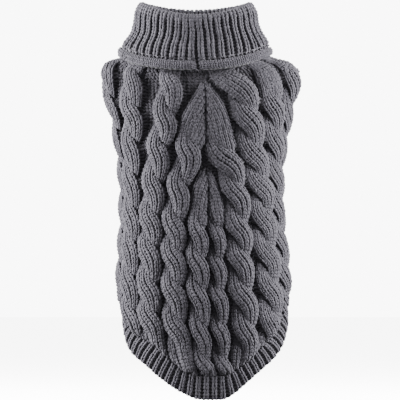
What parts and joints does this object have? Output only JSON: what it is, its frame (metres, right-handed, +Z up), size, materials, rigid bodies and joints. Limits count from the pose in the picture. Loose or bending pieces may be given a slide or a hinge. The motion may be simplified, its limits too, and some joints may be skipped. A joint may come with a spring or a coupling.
{
  "type": "dog sweater",
  "caption": "Cable-knit dog sweater with a turned-down ribbed collar, a ribbed rounded hem and leg openings, filled out as worn.",
  "frame": {"origin": "middle of the neck at the foot of the collar, where the wearer's neck and shoulders carry the garment", "axes": "+Z up along the body towards the collar's fold, -Y towards the back of the garment, +Y towards the belly, +X to the right as seen from the back"},
  "size_m": [0.1986, 0.1321, 0.3956],
  "materials": {
    "cable_knit": "matt charcoal-grey acrylic and wool yarn in chunky cables, with a soft fuzzy surface",
    "plain_knit": "matt charcoal-grey yarn in plain stocking stitch",
    "rib_knit": "matt charcoal-grey yarn in stretchy two-by-two rib"
  },
  "bodies": {
    "root": {"back_panel": "cable_knit", "belly_panel": "plain_knit", "collar": "rib_knit", "hem_rib_back": "rib_knit", "hem_rib_belly": "rib_knit", "leg_cuff_left": "rib_knit", "leg_cuff_right": "rib_knit"}
  },
  "joints": []
}
